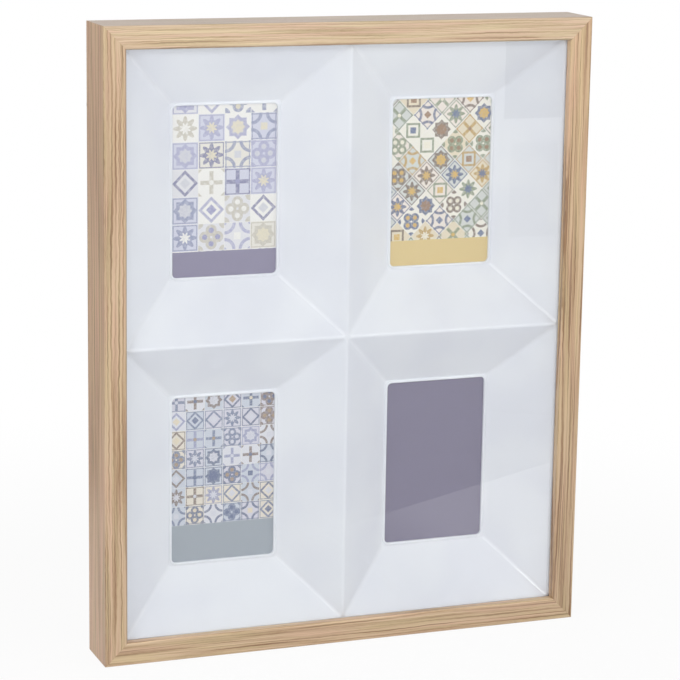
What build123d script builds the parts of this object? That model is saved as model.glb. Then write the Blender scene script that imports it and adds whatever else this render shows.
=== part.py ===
from build123d import *
import math
import os

# Frame: front faces -Y, +Z is up, origin at the middle of the bottom rail's underside
frame_width = 440.0
frame_height = 546.0
frame_depth = 52.0

# Moulding section
face_width = 19.8
rabbet_width = 4.4
lip_thickness = 8.0
front_arris = 1.0
lip_arris = 1.8
rear_arris = 0.6

# Stack in the rabbet, from the glass to the back
rabbet_clearance = 0.5
glass_thickness = 1.5
glass_play = 0.1
photo_thickness = 0.3
card_thickness = 1.1
board_thickness = 3.0

# Moulded tray with four funnels
tray_clearance = 1.2
tray_wall = 1.5
tray_corner = 9.0
flange_round = 1.2
flange_reveal = 0.4
ridge_width = 2.0
ridge_crown = 1.6
rim_corner = 2.5
floor_corner = 3.0
window_corner = 4.0
window_shift = 0.35
bead_width = 2.2
bead_height = 1.0
bead_gutter = 0.8
bead_round = 0.8

# Photo and card, with the window over them and the rib that locates them
photo_width = 100.0
photo_height = 150.0
window_side_overlap = 3.0
window_end_overlap = 1.25
card_margin = 1.0
pocket_clearance = 0.6
pocket_rib = 1.4

# Turn buttons, stamped from sheet
button_thickness = 1.0
button_heel_radius = 6.0
button_nose_radius = 4.0
button_reach = 17.0
button_nose_lift = 1.6
button_nose_length = 6.0
button_inset = 120.0
button_gap = 0.1

# Pan-head screws
screw_radius = 1.5
screw_length = 12.0
screw_tip = 3.0
screw_head_radius = 3.25
screw_head_height = 2.0
screw_head_round = 1.1
screw_slot_width = 0.8
screw_slot_length = 3.6
screw_slot_depth = 1.1
pivot_clearance = 0.1
pilot_clearance = 0.05

# Strap hangers with a loose D-ring
hanger_drop = 66.0
strap_sheet = 0.8
strap_side_play = 0.1
strap_length = 25.0
strap_screw_drop = 18.0
ring_wire_radius = 1.0
ring_width = 12.0
ring_depth = 10.5
ring_corner = 2.0
ring_lean = 8.0
ring_clearance = 0.1

# Steel wedges across the rear of each mitre
nail_leg = 5.0
nail_sheet = 0.8
nail_length = 10.0
nail_spacing = 5.0
nail_clearance = 0.05

# Depths of the stack
front_y = -frame_depth / 2
rear_y = frame_depth / 2
glass_front = front_y + lip_thickness
tray_front = glass_front + glass_thickness + glass_play
board_front = rear_y - board_thickness
card_front = board_front - card_thickness
photo_front = card_front - photo_thickness
floor_front = photo_front - tray_wall

# Widths and heights that follow from the moulding
land_width = face_width - rabbet_width
insert_width = frame_width - 2 * (land_width + rabbet_clearance)
insert_height = frame_height - 2 * (land_width + rabbet_clearance)
tray_width = frame_width - 2 * (land_width + tray_clearance)
tray_height = frame_height - 2 * (land_width + tray_clearance)
mid_z = frame_height / 2

# Window, card and pocket that follow from the photo
window_width = photo_width - 2 * window_side_overlap
window_height = photo_height - 2 * window_end_overlap
card_width = photo_width + 2 * card_margin
card_height = photo_height + 2 * card_margin
pocket_width = card_width + 2 * pocket_clearance
pocket_height = card_height + 2 * pocket_clearance

# One funnel cell, from its rim at the glass to its floor round the window
floor_border = bead_width + bead_gutter
rim_width = frame_width / 2 - face_width - flange_reveal - ridge_width / 2
rim_height = mid_z - face_width - flange_reveal - ridge_width / 2
cell_x = (ridge_width + rim_width) / 2 - window_shift
cell_z = (ridge_width + rim_height) / 2 - window_shift
floor_width = window_width + 2 * floor_border
floor_height = window_height + 2 * floor_border
cells = {
    "top_left": (-cell_x, mid_z + cell_z),
    "top_right": (cell_x, mid_z + cell_z),
    "bottom_left": (-cell_x, mid_z - cell_z),
    "bottom_right": (cell_x, mid_z - cell_z),
}

# Places along the rails, seen from the front: (x, z, turn of the inward direction about Y from +Z)
land_middle = land_width / 2
button_x = frame_width / 2 - button_inset
button_z = mid_z - button_inset
button_places = {
    "bottom_left": (-button_x, land_middle, 0),
    "bottom_right": (button_x, land_middle, 0),
    "top_left": (-button_x, frame_height - land_middle, 180),
    "top_right": (button_x, frame_height - land_middle, 180),
    "left_lower": (-frame_width / 2 + land_middle, mid_z - button_z, 90),
    "left_upper": (-frame_width / 2 + land_middle, mid_z + button_z, 90),
    "right_lower": (frame_width / 2 - land_middle, mid_z - button_z, -90),
    "right_upper": (frame_width / 2 - land_middle, mid_z + button_z, -90),
}
strap_thickness = 2 * strap_sheet
strap_width = ring_width - 2 * ring_corner - 2 * strap_side_play
loop_radius = ring_wire_radius + ring_clearance
barrel_radius = loop_radius + strap_sheet
hanger_x = frame_width / 2 - land_middle
hanger_z = frame_height - hanger_drop
hanger_places = {"left": -hanger_x, "right": hanger_x}
pilot_radius = screw_radius + pilot_clearance


def upright(sketch, y, depth):
    """Stand a flat sketch up facing the viewer at depth y and push it back by depth."""
    return extrude(Pos(0, y, 0) * (Plane.XZ * sketch), amount=depth, dir=(0, 1, 0))


def slab(width, height, front, thickness):
    """Flat sheet centred on the frame, with its front face at a given depth."""
    return Pos(0, front + thickness / 2, mid_z) * Box(width, thickness, height)


def frustum(x, z, front_size, front_corner, front, back_size, back_corner, back):
    """Four-sided funnel at one window, its mouth a little further from the frame's middle."""
    out_x = math.copysign(window_shift, x)
    out_z = math.copysign(window_shift, z - mid_z)
    mouth = Pos(out_x, front, out_z) * (Plane.XZ * RectangleRounded(*front_size, front_corner))
    throat = Pos(0, back, 0) * (Plane.XZ * RectangleRounded(*back_size, back_corner))
    return Pos(x, 0, z) * loft([mouth.face(), throat.face()], ruled=True)


def screw_hole(x, z, radius):
    """Drill from the rear face for one screw."""
    depth = screw_length + pilot_clearance
    return Pos(x, rear_y - depth / 2, z) * Rot(90, 0, 0) * Cylinder(radius, depth)


def moulding_bar(length):
    """Straight rail lying on its outer face, with an L section and both ends mitred."""
    outline = Polyline(
        (front_y, 0),
        (rear_y, 0),
        (rear_y, land_width),
        (glass_front, land_width),
        (glass_front, face_width),
        (front_y, face_width),
        close=True,
    )
    section = make_face(outline)
    outer_corner = section.vertices().group_by(Axis.X)[0].sort_by(Axis.Y)[0]
    section = fillet(outer_corner, front_arris)
    lip_corner = section.vertices().group_by(Axis.X)[0].sort_by(Axis.Y)[-1]
    section = fillet(lip_corner, lip_arris)
    rear_corner = section.vertices().group_by(Axis.X)[-1].sort_by(Axis.Y)[0]
    section = fillet(rear_corner, rear_arris)
    bar = extrude(Plane.YZ * section, amount=length / 2, both=True)
    half = length / 2
    mitred = half - face_width
    plan = Polyline((-half, 0), (half, 0), (mitred, face_width), (-mitred, face_width), close=True)
    return bar & upright(make_face(plan), front_y, frame_depth)


def v_nail(play):
    """Angle-shaped steel wedge with its point towards the frame's opening."""
    leg = nail_leg + play
    half = nail_sheet / 2 + play
    outline = Polyline(
        (-leg, -half), (-half, -half), (-half, -leg), (half, -leg), (half, half), (-leg, half), close=True
    )
    return upright(make_face(outline), rear_y - nail_length - play, nail_length + play)


def v_nails(play):
    """Two wedges at every corner, one behind the other along the mitre."""
    nails = []
    for turn, x, z in ((0, -1, 0), (90, -1, 1), (-90, 1, 0), (180, 1, 1)):
        corner = Pos(x * frame_width / 2, 0, z * frame_height) * Rot(0, turn, 0)
        for along in (-nail_spacing / 2, nail_spacing / 2):
            inset = land_middle + nail_leg / 2 + along
            nails.append(corner * Pos(inset, 0, inset) * v_nail(play))
    return nails


def screw(seat_y):
    """Pan-head screw along Y with its head bearing on the plane at seat_y."""
    tip_y = rear_y - screw_length
    crown = seat_y + screw_head_height
    outline = Polyline(
        (0, tip_y),
        (screw_radius, tip_y + screw_tip),
        (screw_radius, seat_y),
        (screw_head_radius, seat_y),
        (screw_head_radius, crown),
        (0, crown),
        close=True,
    )
    section = make_face(outline)
    rim = section.vertices().group_by(Axis.Y)[-1].sort_by(Axis.X)[-1]
    turned = revolve(fillet(rim, screw_head_round), Axis.Y)
    slot = Pos(0, crown, 0) * Box(screw_slot_length, 2 * screw_slot_depth, screw_slot_width)
    return turned - slot - Rot(0, 90, 0) * slot


def turn_button():
    """Sheet-steel button pointing up from its pivot, with a lifted nose."""
    heel = Circle(button_heel_radius)
    nose = Pos(0, button_reach) * Circle(button_nose_radius)
    plan = make_hull((heel + nose).edges()) - Circle(screw_radius + pivot_clearance)
    nose_end = button_reach + button_nose_radius
    bend = nose_end - button_nose_length
    side = Polyline(
        (0, -button_heel_radius),
        (0, bend),
        (button_nose_lift, nose_end),
        (button_nose_lift + button_thickness, nose_end),
        (button_thickness, bend),
        (button_thickness, -button_heel_radius),
        close=True,
    )
    strip = extrude(Plane.YZ * make_face(side), amount=button_heel_radius, both=True)
    return strip & upright(plan, 0, button_thickness + button_nose_lift)


def hanger_strap():
    """Steel strap folded round the ring's straight side, with the ring's axis at the top."""
    end = strap_length - strap_width / 2
    plan = Pos(0, -end / 2) * Rectangle(strap_width, end) + Pos(0, -end) * Circle(strap_width / 2)
    plan -= Pos(0, -strap_screw_drop) * Circle(pilot_radius)
    tongue = upright(plan, 0, strap_thickness)
    barrel = Pos(0, barrel_radius, 0) * Rot(0, 90, 0) * Cylinder(barrel_radius, strap_width)
    bore = Pos(0, barrel_radius, 0) * Rot(0, 90, 0) * Cylinder(loop_radius, strap_width)
    return tongue + barrel - bore


def hanger_ring():
    """Arched wire ring hanging down from its straight side."""
    half = ring_width / 2
    inner = half - ring_corner
    spring_line = ring_depth - half
    path = Wire(
        [
            Line((-inner, 0), (inner, 0)),
            CenterArc((inner, -ring_corner), ring_corner, 90, -90),
            Line((half, -ring_corner), (half, -spring_line)),
            CenterArc((0, -spring_line), half, 0, -180),
            Line((-half, -spring_line), (-half, -ring_corner)),
            CenterArc((-inner, -ring_corner), ring_corner, 180, -90),
        ]
    )
    wire = sweep(Plane.YZ * Circle(ring_wire_radius), path=Plane.XZ * path)
    return Rot(ring_lean, 0, 0) * wire


def funnel_tray():
    """One moulded sheet: flange at the glass, skirt to the board, four funnels and their windows."""
    tray_depth = board_front - tray_front
    block = upright(RectangleRounded(tray_width, tray_height, tray_corner), tray_front, tray_depth)
    block = Pos(0, 0, mid_z) * fillet(block.faces().sort_by(Axis.Y)[0].edges(), flange_round)
    hollow_size = (tray_width - 2 * tray_wall, tray_height - 2 * tray_wall)
    hollow = RectangleRounded(*hollow_size, tray_corner - tray_wall)
    hollow = upright(hollow, tray_front + tray_wall, tray_depth - tray_wall)
    tray = block - Pos(0, 0, mid_z) * hollow

    depth = floor_front - tray_front
    slopes = (rim_width - floor_width, rim_height - floor_height)
    spread = [slope / 2 / depth for slope in slopes]
    wall = [2 * tray_wall * math.hypot(1, k) for k in spread]
    back = [2 * tray_wall * k for k in spread]
    outer_rim = (rim_width + wall[0], rim_height + wall[1])
    outer_floor = (floor_width + wall[0] - back[0], floor_height + wall[1] - back[1])
    shell = (outer_rim, rim_corner + tray_wall, tray_front, outer_floor, floor_corner, photo_front)
    rim = (rim_width, rim_height)
    floor = (floor_width, floor_height)
    cavity = (rim, rim_corner, tray_front, floor, floor_corner, floor_front)
    pocket = Rectangle(pocket_width, pocket_height)
    rib_plan = offset(pocket, pocket_rib, kind=Kind.INTERSECTION) - pocket
    rib = upright(rib_plan, floor_front, board_front - floor_front)
    window = RectangleRounded(window_width, window_height, window_corner)
    opening = upright(window, floor_front - bead_height, tray_wall + bead_height)
    bead_plan = RectangleRounded(
        window_width + 2 * bead_width, window_height + 2 * bead_width, window_corner + bead_width
    )
    bead = upright(bead_plan - window, floor_front - bead_height, bead_height)
    bead = fillet(bead.faces().sort_by(Axis.Y)[0].edges(), bead_round)

    for x, z in cells.values():
        tray += frustum(x, z, *shell) & block
        tray += Pos(x, 0, z) * rib
    for x, z in cells.values():
        tray -= frustum(x, z, *cavity)
        tray -= Pos(x, 0, z) * opening
    crest = tray.faces().filter_by(Plane.XZ).sort_by(Axis.Y)[0]
    rims = [edge for wire in crest.inner_wires() for edge in wire.edges()]
    tray = fillet(rims, ridge_crown)
    for x, z in cells.values():
        tray += Pos(x, 0, z) * bead
    return tray


def frame_nodes():
    """Every piece in its place, by name."""
    nodes = {}
    slots = v_nails(nail_clearance)
    screw_places = [(x, z) for x, z, turn in button_places.values()]
    strap_places = [(x, hanger_z - strap_screw_drop) for x in hanger_places.values()]
    bores = [screw_hole(x, z, pilot_radius) for x, z in screw_places + strap_places]
    rails = {
        "bottom_rail": moulding_bar(frame_width),
        "top_rail": Pos(0, 0, frame_height) * Rot(0, 180, 0) * moulding_bar(frame_width),
        "left_rail": Pos(-frame_width / 2, 0, mid_z) * Rot(0, 90, 0) * moulding_bar(frame_height),
        "right_rail": Pos(frame_width / 2, 0, mid_z) * Rot(0, -90, 0) * moulding_bar(frame_height),
    }
    for name, rail in rails.items():
        nodes[name] = rail - slots - bores
    nodes["corner_v_nails"] = Compound(children=v_nails(0))

    nodes["glass_pane"] = slab(insert_width, insert_height, glass_front, glass_thickness)
    nodes["funnel_tray"] = funnel_tray()
    for name, (x, z) in cells.items():
        photo = Box(photo_width, photo_thickness, photo_height)
        card = Box(card_width, card_thickness, card_height)
        nodes[f"photo_{name}"] = Pos(x, photo_front + photo_thickness / 2, z) * photo
        nodes[f"backing_card_{name}"] = Pos(x, card_front + card_thickness / 2, z) * card
    nodes["backboard"] = slab(insert_width, insert_height, board_front, board_thickness)

    button_y = rear_y + button_gap
    for name, (x, z, turn) in button_places.items():
        nodes[f"turn_button_{name}"] = Pos(x, button_y, z) * Rot(0, turn, 0) * turn_button()
    pivot = screw(button_y + button_thickness + button_gap)
    nodes["turn_button_screws"] = Compound(children=[Pos(x, 0, z) * pivot for x, z in screw_places])

    for side, x in hanger_places.items():
        nodes[f"hanger_strap_{side}"] = Pos(x, rear_y, hanger_z) * hanger_strap()
        nodes[f"hanger_ring_{side}"] = Pos(x, rear_y + barrel_radius, hanger_z) * hanger_ring()
    strap_screw = screw(rear_y + strap_thickness)
    nodes["hanger_screws"] = Compound(children=[Pos(x, 0, z) * strap_screw for x, z in strap_places])
    return nodes


os.makedirs("parts", exist_ok=True)
for node, shape in frame_nodes().items():
    export_step(shape, f"parts/{node}.step")
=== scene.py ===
import bpy
from math import radians
from mathutils import Matrix, Quaternion, Vector


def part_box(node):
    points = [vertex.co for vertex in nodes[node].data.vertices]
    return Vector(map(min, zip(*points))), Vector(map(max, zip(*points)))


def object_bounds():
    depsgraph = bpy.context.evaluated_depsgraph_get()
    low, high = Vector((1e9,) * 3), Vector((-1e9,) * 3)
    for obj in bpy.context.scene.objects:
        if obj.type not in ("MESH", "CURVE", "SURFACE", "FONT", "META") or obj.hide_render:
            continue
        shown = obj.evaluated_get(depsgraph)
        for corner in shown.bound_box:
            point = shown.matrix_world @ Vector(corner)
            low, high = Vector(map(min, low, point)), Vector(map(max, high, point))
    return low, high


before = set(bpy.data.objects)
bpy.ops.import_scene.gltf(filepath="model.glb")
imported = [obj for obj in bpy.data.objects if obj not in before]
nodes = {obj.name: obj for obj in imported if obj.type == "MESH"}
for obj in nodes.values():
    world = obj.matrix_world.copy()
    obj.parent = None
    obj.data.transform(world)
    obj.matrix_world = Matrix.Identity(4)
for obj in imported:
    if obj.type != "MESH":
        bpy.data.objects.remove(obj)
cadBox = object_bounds()                            # the box that the looks stay inside
bpy.ops.object.select_all(action="DESELECT")

mm = 1000.0                                     # object coordinates are metres, patterns are in mm
halfWidth = cadBox[1].x * mm
midHeight = (cadBox[0].z + cadBox[1].z) / 2 * mm
frontFace = cadBox[0].y * mm
faceWidth = nodes["left_rail"].dimensions.x * mm        # from the frame's outer edge to its lip


def tint(red, green, blue):                     # a colour as a paint card gives it, 0 to 255
    def linear(value):
        value = value / 255
        return value / 12.92 if value <= 0.04045 else ((value + 0.055) / 1.055) ** 2.4
    return (linear(red), linear(green), linear(blue), 1.0)


class Link:                                     # a shader socket that takes sums
    def __init__(self, tree, socket=None):
        self.tree = tree
        self.socket = socket

    def node(self, kind, settings=None, ins=None, out=0):
        made = self.tree.nodes.new("ShaderNode" + kind)
        for key, value in (settings or {}).items():
            if key == "stops":                  # (place, colour) pairs of a ramp
                ramp = made.color_ramp.elements
                while len(ramp) < len(value):
                    ramp.new(0.5)
                for stop, (place, colour) in zip(ramp, value):
                    stop.position = place
                    stop.color = colour
            elif key == "blend":
                made.color_ramp.interpolation = value
            else:
                setattr(made, key, value)
        for key, value in (ins or {}).items():
            if isinstance(value, Link):
                self.tree.links.new(value.socket, made.inputs[key])
            else:
                made.inputs[key].default_value = value
        return Link(self.tree, made.outputs[out])

    def calc(self, operation, *values):
        return self.node("Math", {"operation": operation}, dict(enumerate(values)))

    def __add__(self, other):
        return self.calc("ADD", self, other)

    def __radd__(self, other):
        return self.calc("ADD", other, self)

    def __sub__(self, other):
        return self.calc("SUBTRACT", self, other)

    def __rsub__(self, other):
        return self.calc("SUBTRACT", other, self)

    def __mul__(self, other):
        return self.calc("MULTIPLY", self, other)

    def __rmul__(self, other):
        return self.calc("MULTIPLY", other, self)

    def __truediv__(self, other):
        return self.calc("DIVIDE", self, other)

    def __rtruediv__(self, other):
        return self.calc("DIVIDE", other, self)

    def __lt__(self, other):
        return self.calc("LESS_THAN", self, other)

    def __gt__(self, other):
        return self.calc("GREATER_THAN", self, other)

    def __abs__(self):
        return self.calc("ABSOLUTE", self)

    def least(self, other):
        return self.calc("MINIMUM", self, other)

    def most(self, other):
        return self.calc("MAXIMUM", self, other)

    def slant(self, other):                     # the long side of a right angle
        return self.calc("SQRT", self * self + other * other)

    def soft(self, low, high):                  # 0 below low, 1 above high, eased between
        return self.node("MapRange", {"interpolation_type": "SMOOTHSTEP"}, {0: self, 1: low, 2: high})

    def vector(self, x, y, z):
        return self.node("CombineXYZ", None, {0: x, 1: y, 2: z})

    def noise(self, x, y, z, detail=2.0, rough=0.5):
        ins = {"Vector": self.vector(x, y, z), "Scale": 1.0, "Detail": detail, "Roughness": rough}
        return self.node("TexNoise", None, ins)

    def mix(self, factor, first, second, way="MIX"):
        settings = {"data_type": "RGBA", "blend_type": way}
        return self.node("Mix", settings, {0: factor, 6: first, 7: second}, 2)

    def times(self, colour, factors):           # darkens or lights red, green and blue
        return self.mix(1.0, colour, tuple(factors) + (1.0,), "MULTIPLY")

    def ramp(self, factor, stops, blend="LINEAR"):
        return self.node("ValToRGB", {"blend": blend, "stops": stops}, {0: factor})

    def bump(self, height, strength, distance):
        return self.node("Bump", None, {"Height": height, "Strength": strength, "Distance": distance})


def newMaterial(name):                          # an empty tree, and its object coordinates in mm
    material = bpy.data.materials.new(name)
    material.use_nodes = True
    tree = material.node_tree
    tree.nodes.clear()
    pen = Link(tree)
    place = pen.node("TexCoord", None, None, "Object")
    x, y, z = [pen.node("SeparateXYZ", None, {0: place}, axis) * mm for axis in "XYZ"]
    return material, pen, x, y, z


def finishMaterial(pen, shader):
    output = pen.tree.nodes.new("ShaderNodeOutputMaterial")
    pen.tree.links.new(shader.socket, output.inputs["Surface"])


def dress(material, *names):
    for name in names:
        mesh = nodes[name].data
        mesh.materials.clear()
        mesh.materials.append(material)


oakFoil = {
    "light": tint(229, 206, 175),
    "middle": tint(212, 186, 154),
    "brown": tint(188, 157, 123),
    "dark": tint(150, 115, 83),
    "olive": tint(204, 186, 146),
    "rose": tint(216, 179, 155),
    "tones": (0.37, 0.43, 0.5, 0.61),           # where dark, brown, middle and light lie
    "driftSize": (150, 26, 60),                 # slow bends of the grain: mm along, across, deep
    "warp": 4.0,                                # mm that they carry a line to and fro
    "rippleSize": (11, 7, 30),                  # short waves on top of them
    "sidePitch": 2.3,                           # a streak's width on the sides against the face
    "sideBend": 0.3,
    "sideStraight": 0.5,                        # how much straighter the lines run on the sides
    "sideCalm": 0.2,                            # how much paler the lines are there
    "threads": (2.3, 1.7),                      # fine threads to a streak, across and along
    "layers": {"streak": 0.0, "thread": 4.0, "patch": 9.0},
    "fibre": {"along": 22, "across": 0.5, "edge": (0.35, 0.65), "show": 0.14},
    "pore": {"along": 6, "across": 0.3, "edge": (0.58, 0.7), "tone": (0.42, 0.58), "show": 0.4},
    "patch": {"along": 90, "lines": 3, "edge": (0.5, 0.66), "show": 0.5},
    "mitre": {"width": 0.3, "show": 0.25},
    "wear": {"arris": 1.0, "edge": (0.35, 0.6), "show": 0.3},
    "paintedLipBand": (1.8, 0.72),                    # mm from the lip where its painted light and shade starts and is full
    "sheen": {"foil": 0.36, "board": 0.49, "fibre": 0.12},
    "relief": {"tone": 0.5, "pore": 0.5, "fibre": 0.3, "strength": 0.35, "depth": 0.00025},
    "rails": {                                  # each length of foil has its own part of the print, and its own painted light and shade in shade, fade, side and lip
        "bottom_rail": {
            "along": "X", "shift": 613.0, "pitch": 1.5, "length": 160, "contrast": 1.0, "fade": 1.0,
            "wiggle": 0.8, "shade": (0.845, 0.812, 0.775), "side": (1.0, 1.0, 1.0), "paintedLipLight": 1.2,
        },
        "top_rail": {
            "along": "X", "shift": 731.0, "pitch": 1.15, "length": 130, "contrast": 0.78, "fade": 1.0,
            "wiggle": 1.1, "shade": (0.965, 0.97, 0.975), "side": (0.925, 0.93, 1.035), "paintedLipLight": 0.68,
        },
        "left_rail": {
            "along": "Z", "shift": 1513.0, "pitch": 1.6, "length": 200, "contrast": 1.1, "fade": 1.0,
            "wiggle": 1.5, "shade": (0.835, 0.79, 0.76), "side": (1.01, 0.885, 0.78), "paintedLipLight": 0.66,
        },
        "right_rail": {
            "along": "Z", "shift": 2357.0, "pitch": 1.8, "length": 200, "contrast": 1.4, "fade": 0.77,
            "wiggle": 0.9, "shade": (0.9, 0.835, 0.765), "side": (1.0, 1.0, 1.0), "paintedLipLight": 1.1,
        },
    },
    "shiftAcross": 0.37,                        # the print's shift across for each mm along
    "outerSkin": 0.05,                          # mm, what counts as the outer side
    "rearFacing": 0.6,
    "board": {                                  # bare fibreboard past the foil's wrap on the rear
        "wrap": 5.0, "ragged": 0.8, "raggedSize": 3, "chip": 0.6,
        "colours": [(0.3, tint(166, 133, 95)), (0.66, tint(200, 169, 129))],
    },
}


def oakGrain(pen, own, run, across, y, outside):
    s = oakFoil
    drift, ripple = [
        pen.noise(run / along, across / wide, y / deep, 1.0) - 0.5
        for along, wide, deep in (s["driftSize"], s["rippleSize"])
    ]
    bend = (drift * s["warp"] + ripple * own["wiggle"]) * (1 - outside * s["sideStraight"])
    line = (across + bend + (y + bend * s["sideBend"]) / s["sidePitch"]) / own["pitch"]
    along = run / own["length"]
    finer, shorter = s["threads"]
    streak = pen.noise(line, along, s["layers"]["streak"], 1.0, 0.4)
    thread = pen.noise(line * finer, along * shorter, s["layers"]["thread"], 2.0, 0.6)
    contrast = (1 - outside * s["sideCalm"]) * own["contrast"]
    tone = ((streak + thread) * 0.5 - 0.5) * contrast + 0.5
    wide = s["fibre"]["across"]
    fibre = pen.noise(run / s["fibre"]["along"], across / wide, y / wide, 2.0, 0.6)
    wide = s["pore"]["across"]
    pore = pen.noise(run / s["pore"]["along"], across / wide, y / wide, 1.0).soft(*s["pore"]["edge"])
    patch = s["patch"]
    hue = pen.noise(run / patch["along"], line / patch["lines"], s["layers"]["patch"], 1.0)
    return tone, fibre, pore, hue


def oakColour(pen, tone, fibre, pore, hue):
    s = oakFoil
    patch = s["patch"]
    wood = pen.ramp(tone, list(zip(s["tones"], (s["dark"], s["brown"], s["middle"], s["light"]))))
    for part, stain in ((hue, s["rose"]), (1 - hue, s["olive"])):
        stained = pen.mix(1.0, wood, stain, "COLOR")
        wood = pen.mix(part.soft(*patch["edge"]) * patch["show"], wood, stained)
    wood = pen.mix(fibre.soft(*s["fibre"]["edge"]) * s["fibre"]["show"], wood, s["light"])
    darkLines = 1 - tone.soft(*s["pore"]["tone"])
    return pen.mix(pore * darkLines * s["pore"]["show"], wood, s["dark"])


def oakFoilOver(rail):
    s = oakFoil
    own = s["rails"][rail]
    material, pen, x, y, z = newMaterial("oak_foil_" + rail)
    fromSide = halfWidth - abs(x)
    fromEnd = midHeight - abs(z - midHeight)
    fromEdge = fromSide.least(fromEnd)
    outside = fromEdge < s["outerSkin"]
    run, across = (x, z) if own["along"] == "X" else (z, x)
    run = run + own["shift"]
    across = across + s["shiftAcross"] * own["shift"]
    tone, fibre, pore, hue = oakGrain(pen, own, run, across, y, outside)
    wood = oakColour(pen, tone, fibre, pore, hue)
    mitre = 1 - abs(fromSide - fromEnd).soft(0.0, s["mitre"]["width"])
    wood = pen.mix(mitre * s["mitre"]["show"], wood, s["dark"])
    wear = s["wear"]
    worn = (fromEdge < wear["arris"]) * (y < frontFace + wear["arris"]) * hue.soft(*wear["edge"])
    wood = pen.mix(worn * wear["show"], wood, s["light"])
    # partly painted shade: each rail's colour scaled by its shade, partly the foil's own tone and partly
    # the light falling off from the top rail to the bottom and right rails
    wood = pen.times(wood, own["shade"])
    # painted shade: the rail darkens towards its bottom by its fade factor, as the light falls off
    # downwards
    wood = pen.mix(z / (2 * midHeight), pen.times(wood, [own["fade"]] * 3), wood)
    # painted shade on the outer sides, darker and warmer on the left rail; on the top rail painted shade
    # with a bluish painted reflection of the white room
    wood = pen.mix(outside, wood, pen.times(wood, own["side"]))
    # painted shade along the lip on the top and left rails, painted light along it on the bottom and right
    # rails
    start, full = s["paintedLipBand"]
    paintedLipLight = fromEdge.soft(faceWidth - start, faceWidth - full)
    wood = pen.mix(paintedLipLight, wood, pen.times(wood, [own["paintedLipLight"]] * 3))
    board = s["board"]
    facing = pen.node("SeparateXYZ", None, {0: pen.node("TexCoord", None, None, "Normal")}, "Y")
    ragged = pen.noise(x / board["raggedSize"], y, z / board["raggedSize"], 3.0) * board["ragged"]
    bare = (facing > s["rearFacing"]) * (fromEdge > board["wrap"] + ragged)
    chips = pen.noise(x / board["chip"], y / board["chip"], z / board["chip"], 3.0, 0.7)
    sheen, relief = s["sheen"], s["relief"]
    height = tone * relief["tone"] - pore * relief["pore"] + fibre * relief["fibre"]
    height = pen.mix(bare, height, chips)
    shader = pen.node("BsdfPrincipled", None, {
        "Base Color": pen.mix(bare, wood, pen.ramp(chips, board["colours"])),
        "Roughness": sheen["foil"] + bare * sheen["board"] + (fibre - 0.5) * sheen["fibre"],
        "Normal": pen.bump(height, relief["strength"], relief["depth"]),
    })
    finishMaterial(pen, shader)
    dress(material, rail)


for rail in oakFoil["rails"]:
    oakFoilOver(rail)
print("rails wrapped in oak foil")


clearGlass = {
    "tint": (0.985, 0.99, 0.988, 1.0),
    "ior": 1.5,
    "twoFaces": 2.0,                            # the front face mirrors for both
    "smudge": {"wide": 60, "high": 25, "edge": (0.45, 0.75), "roughness": 0.035},
}


def glassPane():
    s = clearGlass
    smudge = s["smudge"]
    material, pen, x, y, z = newMaterial("clear_glass")
    mirror = pen.node("Fresnel", None, {"IOR": s["ior"]}) * s["twoFaces"]
    back = pen.node("NewGeometry", None, None, "Backfacing")
    wipe = pen.noise(x / smudge["wide"], y, z / smudge["high"], 2.0).soft(*smudge["edge"])
    gloss = {"Color": (1, 1, 1, 1), "Roughness": wipe * smudge["roughness"]}
    shader = pen.node("MixShader", None, {
        0: mirror * (1 - back),
        1: pen.node("BsdfTransparent", None, {"Color": s["tint"]}),
        2: pen.node("BsdfGlossy", {"distribution": "GGX"}, gloss),
    })
    finishMaterial(pen, shader)
    dress(material, "glass_pane")


glassPane()
print("glass cleaned")


whiteTray = {
    "white": tint(236, 238, 244),
    "shade": tint(230, 232, 240),
    "roughness": 0.26,
    "cloud": {"size": 70, "edge": (0.35, 0.65), "roughness": 0.08},
    "skin": {"size": 0.9, "roughness": 0.05, "strength": 0.06, "depth": 0.0001},
}


def mouldedPlastic():
    s = whiteTray
    material, pen, x, y, z = newMaterial("moulded_white_plastic")
    cloud, skin = [
        pen.noise(x / part["size"], y / part["size"], z / part["size"], 2.0)
        for part in (s["cloud"], s["skin"])
    ]
    uneven = (cloud - 0.5) * s["cloud"]["roughness"] + (skin - 0.5) * s["skin"]["roughness"]
    shader = pen.node("BsdfPrincipled", None, {
        "Base Color": pen.mix(cloud.soft(*s["cloud"]["edge"]), s["white"], s["shade"]),
        "Roughness": s["roughness"] + uneven,
        "Normal": pen.bump(skin, s["skin"]["strength"], s["skin"]["depth"]),
    })
    finishMaterial(pen, shader)
    dress(material, "funnel_tray")


mouldedPlastic()
print("tray moulded")


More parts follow.
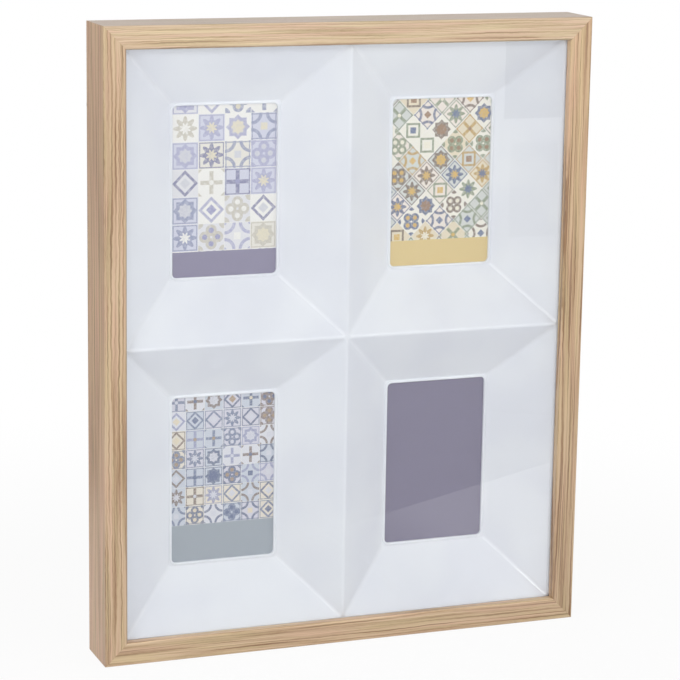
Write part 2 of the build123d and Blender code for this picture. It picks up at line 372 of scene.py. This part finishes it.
cream, paper = tint(236, 234, 231), tint(222, 221, 226)
tilePrints = {                                  # pitch and band height in mm
    "top_left": {
        "pitch": 23.5, "turned": False, "shift": 3.0, "band": 23.0, "bandColour": tint(123, 117, 147),
        "grounds": [cream, paper, tint(226, 222, 214), tint(205, 206, 222)],
        "figures": [tint(166, 166, 198), tint(140, 146, 178), tint(196, 190, 178), tint(120, 120, 158)],
        "hearts": [tint(222, 214, 192), cream, tint(150, 150, 190), tint(206, 206, 214)],
    },
    "top_right": {
        "pitch": 19.0, "turned": True, "shift": 11.0, "band": 23.5, "bandColour": tint(217, 191, 128),
        "grounds": [tint(236, 232, 222), tint(224, 212, 188), tint(207, 209, 206), tint(232, 222, 214)],
        "figures": [tint(74, 90, 130), tint(186, 150, 76), tint(112, 92, 78), tint(128, 140, 112)],
        "hearts": [tint(214, 176, 92), tint(92, 108, 146), tint(236, 230, 214), tint(150, 116, 88)],
    },
    "bottom_left": {
        "pitch": 17.0, "turned": False, "shift": 29.0, "band": 34.0, "bandColour": tint(153, 162, 173),
        "grounds": [tint(220, 220, 228), tint(200, 205, 217), tint(226, 218, 206), tint(210, 208, 220)],
        "figures": [tint(112, 124, 156), tint(150, 154, 188), tint(128, 110, 102), tint(92, 104, 138)],
        "hearts": [tint(226, 214, 190), tint(98, 110, 146), tint(214, 214, 224), tint(172, 148, 122)],
    },
    "bottom_right": {"band": 400.0, "bandColour": tint(105, 98, 128)},      # band all over
}
tileShapes = {                                  # shares of a tile, from its middle or its corners
    "star": {"reach": 0.33, "heart": 0.2, "slope": 0.72},
    "petals": {"round": 0.21, "heart": 0.1, "out": 0.25, "corner": 0.2},
    "flower": {"reach": 0.36, "heart": 0.17, "leaves": 8, "wave": 0.09, "heartWave": 0.05},
    "lozenge": {"reach": 0.42, "line": 0.07, "heart": 0.2},
    "arcs": {"reach": 0.38, "line": 0.06, "corner": 0.09, "heart": 0.13},
    "cross": {"reach": 0.42, "line": 0.075, "corner": 0.16, "heart": 0.09},
}
tileInk = {
    "edge": 0.012,                              # how soft the figures' edges are
    "shuffle": 7,                               # sets the hearts' colours apart from the motifs
    "border": {"reach": 0.45, "line": 0.02, "edge": 0.01, "share": 0.4},
    "joint": {"reach": 0.488, "show": 0.7},
    "wear": {"size": 9, "edge": (0.25, 0.6), "figure": (0.45, 0.5), "heart": (0.55, 0.45)},
}


def tileMotifs(u, v):                           # a figure and its heart for each, above 0 inside
    star, petals, flower, lozenge, arcs, cross = tileShapes.values()
    a, b = abs(u), abs(v)
    big, small = a.most(b), a.least(b)
    far = u.slant(v)
    corner = (0.5 - a).slant(0.5 - b)
    lobe = (big - petals["out"]).slant(small)
    wave = u.calc("COSINE", u.calc("ARCTAN2", v, u) * flower["leaves"])
    spiked = big.least((a + b) * star["slope"])
    bars = (cross["line"] - small).least(cross["reach"] - big)
    return [
        (star["reach"] - spiked, star["heart"] - spiked),
        ((petals["round"] - lobe).most(petals["corner"] - corner), petals["heart"] - lobe),
        (flower["reach"] + wave * flower["wave"] - far, flower["heart"] - wave * flower["heartWave"] - far),
        (lozenge["line"] - abs(a + b - lozenge["reach"]), lozenge["heart"] - (a + b)),
        ((arcs["line"] - abs(corner - arcs["reach"])).most(arcs["corner"] - corner), arcs["heart"] - big),
        (bars.most(cross["corner"] - (1.0 - a - b)), cross["heart"] - far),
    ]


def tileSheet(pen, s, u, v):                    # rows of old-style tiles, all different
    if s["turned"]:
        u, v = (u + v) * 0.5 ** 0.5, (v - u) * 0.5 ** 0.5
    u = u / s["pitch"] + s["shift"]
    v = v / s["pitch"] + s["shift"]
    column, row = u.calc("FLOOR", u), v.calc("FLOOR", v)
    cell = pen.vector(column, row, 0.0)
    dice = pen.node("TexWhiteNoise", {"noise_dimensions": "2D"}, {"Vector": cell}, "Color")
    first, second, third = [pen.node("SeparateColor", None, {0: dice}, i) for i in range(3)]
    u, v = u - column - 0.5, v - row - 0.5
    big = abs(u).most(abs(v))
    motifs = tileMotifs(u, v)
    edge, border, joint, wear = [tileInk[key] for key in ("edge", "border", "joint", "wear")]
    figure = heart = 0.0
    for index, (outline, inside) in enumerate(motifs):
        chosen = (first > index / len(motifs)) * (first < (index + 1) / len(motifs))
        figure = chosen * outline.soft(-edge, edge) + figure
        heart = chosen * inside.soft(-edge, edge) + heart
    frameLine = (border["line"] - abs(big - border["reach"])).soft(-border["edge"], border["edge"])
    figure = figure.most(frameLine * (second > border["share"]))
    ground, drawn, core = [
        pen.ramp(pick, [(i / len(inks), ink) for i, ink in enumerate(inks)], "CONSTANT")
        for pick, inks in (
            (second, s["grounds"]),
            (third, s["figures"]),
            (first.calc("FRACT", first * tileInk["shuffle"]), s["hearts"]),
        )
    ]
    rubbed = pen.noise(u * wear["size"] + column, v * wear["size"] + row, 0.0, 3.0, 0.65)
    faded = rubbed.soft(*wear["edge"])
    least, more = wear["figure"]
    sheet = pen.mix(figure * (least + faded * more), ground, drawn)
    least, more = wear["heart"]
    sheet = pen.mix(heart * (least + faded * more), sheet, core)
    return pen.mix((big > joint["reach"]) * joint["show"], sheet, cream)


printPaper = {
    "grain": 0.8,
    "specks": {"edge": (0.3, 0.7), "show": 0.06},
    "roughness": (0.42, 0.1),
    "bump": (0.05, 0.0001),
}


def printedInsert(name, s):
    sheet = printPaper
    material, pen, x, y, z = newMaterial("print_" + name)
    low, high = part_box("photo_" + name)
    u = x - (low.x + high.x) / 2 * mm
    v = z - low.z * mm
    grain = pen.noise(x / sheet["grain"], y, z / sheet["grain"], 2.0)
    specks = grain.soft(*sheet["specks"]["edge"]) * sheet["specks"]["show"]
    colour = pen.mix(specks, s["bandColour"], cream)
    if "pitch" in s:
        colour = pen.mix(v > s["band"], colour, tileSheet(pen, s, u, v))
    middle, swing = sheet["roughness"]
    shader = pen.node("BsdfPrincipled", None, {
        "Base Color": colour,
        "Roughness": middle + (grain - 0.5) * swing,
        "Normal": pen.bump(grain, *sheet["bump"]),
    })
    finishMaterial(pen, shader)
    dress(material, "photo_" + name)


for insert, choices in tilePrints.items():
    printedInsert(insert, choices)
print("inserts printed")


greyCard = {
    "pale": tint(172, 168, 160),
    "dark": tint(120, 116, 110),
    "pulp": {"size": (1.2, 0.3, 1.2), "edge": (0.3, 0.7), "show": 0.35},
    "fleck": {"size": (0.5, 0.5, 3.0), "edge": (0.66, 0.72), "show": 0.4},
    "roughness": (0.85, 0.1),
    "bump": (0.2, 0.0001),
}


def chipCard():
    s = greyCard
    material, pen, x, y, z = newMaterial("grey_chip_card")
    wide, deep, high = s["pulp"]["size"]
    pulp = pen.noise(x / wide, y / deep, z / high, 3.0, 0.7)
    wide, deep, high = s["fleck"]["size"]
    fleck = pen.noise(x / wide, y / deep, z / high, 1.0).soft(*s["fleck"]["edge"])
    shade = pulp.soft(*s["pulp"]["edge"]) * s["pulp"]["show"] + fleck * s["fleck"]["show"]
    middle, swing = s["roughness"]
    shader = pen.node("BsdfPrincipled", None, {
        "Base Color": pen.mix(shade, s["pale"], s["dark"]),
        "Roughness": middle + (pulp - 0.5) * swing,
        "Normal": pen.bump(pulp, *s["bump"]),
    })
    finishMaterial(pen, shader)
    dress(material, *[name for name in nodes if name.startswith("backing_card_")])


chipCard()


hardboard = {
    "dark": tint(102, 71, 46),
    "middle": tint(132, 97, 66),
    "light": tint(160, 125, 90),
    "tones": (0.36, 0.5, 0.64),
    "felt": 5,                                  # mm
    "hair": (0.5, 2.4),                         # mm thick and long
    "cloud": (90, 70),
    "screen": 4.2,                              # the pressing screen's weave, radians per mm
    "share": {"felt": 0.4, "hair": 0.25, "cloud": 0.1, "screen": 0.03},
    "roughness": (0.68, 0.2),
    "relief": {"screen": 0.5, "hair": 0.3},
    "bump": (0.3, 0.0003),
}


def hardboardBack():
    s = hardboard
    share, relief = s["share"], s["relief"]
    material, pen, x, y, z = newMaterial("hardboard")
    felt = pen.noise(x / s["felt"], y / s["felt"], z / s["felt"], 4.0, 0.7)
    thick, long = s["hair"]
    hair = pen.noise(x / thick, y / thick, z / long, 2.0, 0.6)
    hairAcross = pen.noise(x / long, y / thick, z / thick, 2.0, 0.6)
    wide, high = s["cloud"]
    cloud = pen.noise(x / wide, y, z / high, 2.0)
    screen = (x.calc("SINE", x * s["screen"]) * x.calc("SINE", z * s["screen"])) * 0.5 + 0.5
    tone = felt * share["felt"] + hair * share["hair"] + hairAcross * share["hair"]
    tone = tone + cloud * share["cloud"] + (screen - 0.5) * share["screen"]
    height = screen * relief["screen"] + hair * relief["hair"] + hairAcross * relief["hair"]
    middle, swing = s["roughness"]
    shader = pen.node("BsdfPrincipled", None, {
        "Base Color": pen.ramp(tone, list(zip(s["tones"], (s["dark"], s["middle"], s["light"])))),
        "Roughness": middle + (felt - 0.5) * swing,
        "Normal": pen.bump(height, *s["bump"]),
    })
    finishMaterial(pen, shader)
    dress(material, "backboard")


hardboardBack()
print("back and cards in place")


zincSteel = {
    "bright": tint(206, 209, 212),
    "dull": tint(166, 170, 176),
    "bloom": {"size": 4, "edge": (0.35, 0.65), "roughness": 0.25},
    "brushed": {"size": (0.12, 3, 6), "detail": 1.0},
    "dipped": {"size": (0.6, 0.6, 0.6), "detail": 2.0},
    "roughness": (0.3, 0.12),
    "bump": (0.08, 0.0001),
}


def zincPlate(name, finish, names):
    s = zincSteel
    bloom = s["bloom"]
    material, pen, x, y, z = newMaterial(name)
    spots = pen.noise(x / bloom["size"], y / bloom["size"], z / bloom["size"], 3.0, 0.6)
    wide, deep, high = s[finish]["size"]
    scratch = pen.noise(x / wide, y / deep, z / high, s[finish]["detail"])
    middle, swing = s["roughness"]
    shader = pen.node("BsdfPrincipled", None, {
        "Base Color": pen.mix(spots.soft(*bloom["edge"]), s["bright"], s["dull"]),
        "Metallic": 1.0,
        "Roughness": middle + (spots - 0.5) * bloom["roughness"] + (scratch - 0.5) * swing,
        "Normal": pen.bump(scratch, *s["bump"]),
    })
    finishMaterial(pen, shader)
    dress(material, *names)


screws = ["turn_button_screws", "hanger_screws"]
wires = ["hanger_ring_left", "hanger_ring_right", "corner_v_nails"]
pressed = [name for name in nodes if name.startswith(("turn_button_", "hanger_strap_"))]
zincPlate("zinc_sheet", "brushed", [name for name in pressed if name not in screws])
zincPlate("zinc_wire", "dipped", wires)
zincPlate("zinc_screw", "dipped", screws)
print("fittings plated")


plainWhite = (1.0, 1.0, 1.0, 1.0)
paleGround = {
    "size": 60.0,
    "drop": 0.0002,                             # just under the frame
    "colour": (0.9, 0.9, 0.9, 1.0),
    "glow": 0.92,
    "shadowReach": (0.3, 0.9),                  # metres over which it turns plain white
}


def seenDirectly(pen):                          # 1 for rays from the lens, a mirror or through glass
    ray = pen.tree.nodes.new("ShaderNodeLightPath").outputs
    lensRay, glossRay, glassRay = [
        Link(pen.tree, ray[name])
        for name in ("Is Camera Ray", "Is Glossy Ray", "Is Transmission Ray")
    ]
    return lensRay.most(glossRay).most(glassRay)


def paleFloor():
    s = paleGround
    bpy.ops.mesh.primitive_plane_add(size=s["size"], location=(0, 0, -s["drop"]))
    floor = bpy.context.object
    floor.name = "floor"
    material, pen, x, y, z = newMaterial("pale_floor")
    plain = (x.slant(y) / mm).soft(*s["shadowReach"])
    shader = pen.node("MixShader", None, {
        0: seenDirectly(pen) * (s["glow"] + plain * (1.0 - s["glow"])),
        1: pen.node("BsdfDiffuse", None, {"Color": s["colour"]}),
        2: pen.node("Emission", None, {"Color": plainWhite, "Strength": 1.0}),
    })
    finishMaterial(pen, shader)
    floor.data.materials.append(material)


def upright(left, right, y, low, high):         # corners of a card that faces along y
    return ((left, y, low), (right, y, low), (right, y, high), (left, y, high))


def lying(left, right, back, nearLeft, nearRight, z):       # corners of a card on the floor
    return ((left, back, z), (left, nearLeft, z), (right, nearRight, z), (right, back, z))


mirrorCards = {                                 # what the glass, tray and rails mirror
    "footCard": {
        "corners": lying(0.1, 1.1, -0.05, -0.33, -0.87, 0.002), "glow": 1.55,
        "fade": (110, 240),                     # mm along x, from the floor's white to the card's
    },
    "tallFlag": {"corners": upright(0.59, 0.72, -1.0, 0.322, 0.46), "glow": 0.4},
    "lowFlag": {"corners": upright(0.601, 0.668, -1.0, 0.167, 0.29), "glow": 0.78},
    "softBox": {"corners": upright(-1.15, -0.1, -1.9, 0.55, 1.2), "glow": 3.2, "trayOnly": True},
    "ridgeBox": {"corners": upright(0.2, 1.3, -1.9, 0.75, 1.45), "glow": 14.0, "trayOnly": True},
    "sideFlag": {"corners": upright(-1.2, -0.24, 0.5, 0.0, 0.75), "glow": 0.65},
}


def keepOff(card, *names):                      # these nodes don't mirror the card
    unlit = bpy.data.collections.new(card.name + "Unlit")
    for name in names:
        unlit.objects.link(nodes[name])
    for entry in unlit.collection_objects:
        entry.light_linking.link_state = "EXCLUDE"
    card.light_linking.receiver_collection = unlit


def mirrorCard(name, s):                        # a flat card that only mirrors see
    bpy.ops.mesh.primitive_plane_add(size=1.0)
    card = bpy.context.object
    card.name = name
    for index, corner in zip((0, 1, 3, 2), s["corners"]):       # round the plane
        card.data.vertices[index].co = corner
    material, pen, x, y, z = newMaterial(name)
    strength = s["glow"]
    if "fade" in s:
        strength = 1.0 + x.soft(*s["fade"]) * (s["glow"] - 1.0)
    finishMaterial(pen, pen.node("Emission", None, {"Color": plainWhite, "Strength": strength}))
    card.data.materials.append(material)
    for sight in ("camera", "diffuse", "transmission", "volume_scatter", "shadow"):
        setattr(card, "visible_" + sight, False)
    if "trayOnly" in s:
        keepOff(card, "glass_pane", *oakFoil["rails"])


whiteRoom = {"light": 0.44}                     # its light on the object, plain white is 1


def room():
    s = whiteRoom
    world = bpy.data.worlds.new("room")
    world.use_nodes = True
    world.node_tree.nodes.clear()
    pen = Link(world.node_tree)
    strength = s["light"] + seenDirectly(pen) * (1.0 - s["light"])
    light = pen.node("Background", None, {"Color": plainWhite, "Strength": strength})
    output = world.node_tree.nodes.new("ShaderNodeOutputWorld")
    world.node_tree.links.new(light.socket, output.inputs["Surface"])
    bpy.context.scene.world = world


lamps = {                                       # only the key shows its shape in the glass and the zinc
    "key": {"place": (0.0, -1.7, 1.3), "aim": (0.0, 0.0, 0.3), "size": (2.2, 0.25), "watts": 8.3},
    "left": {"place": (-1.1, -1.1, 0.8), "aim": (0.0, 0.0, 0.28), "size": (0.8, 0.8), "watts": 7.7},
    "right": {"place": (1.7, -1.5, 0.8), "aim": (0.0, 0.0, 0.28), "size": (1.2, 1.2), "watts": 10.2},
    "rear": {"place": (0.5, 2.8, 0.45), "aim": (0.0, 0.0, 0.28), "size": (2.4, 0.8), "watts": 34.0},
}


def softLamp(name, s):
    data = bpy.data.lights.new(name, "AREA")
    data.shape = "RECTANGLE"
    data.size, data.size_y = s["size"]
    data.energy = s["watts"]
    lamp = bpy.data.objects.new(name, data)
    bpy.context.scene.collection.objects.link(lamp)
    lamp.location = s["place"]
    lamp.visible_camera = False
    lamp.visible_glossy = name == "key"
    lamp.rotation_mode = "QUATERNION"
    lamp.rotation_quaternion = (Vector(s["aim"]) - Vector(s["place"])).to_track_quat("-Z", "Y")


lens = {
    "place": (-0.78986, -2.05889, 0.74156),
    "aim": (-0.00052, 0.0, 0.26721),
    "roll": 0.9063,                             # degrees
    "length": 137.15,
    "sensor": 36.0,
}


def viewCamera():
    s = lens
    data = bpy.data.cameras.new("camera")
    data.sensor_width = s["sensor"]
    data.lens = s["length"]
    camera = bpy.data.objects.new("camera", data)
    bpy.context.scene.collection.objects.link(camera)
    level = (Vector(s["aim"]) - Vector(s["place"])).to_track_quat("-Z", "Y")
    turn = level @ Quaternion((0.0, 0.0, 1.0), radians(s["roll"]))
    camera.matrix_world = Matrix.Translation(s["place"]) @ turn.to_matrix().to_4x4()
    bpy.context.scene.camera = camera


paleFloor()
for reflector, choices in mirrorCards.items():
    mirrorCard(reflector, choices)
room()
for lampName, choices in lamps.items():
    softLamp(lampName, choices)
viewCamera()
bpy.context.scene.view_settings.view_transform = "Standard"
print("studio lit")
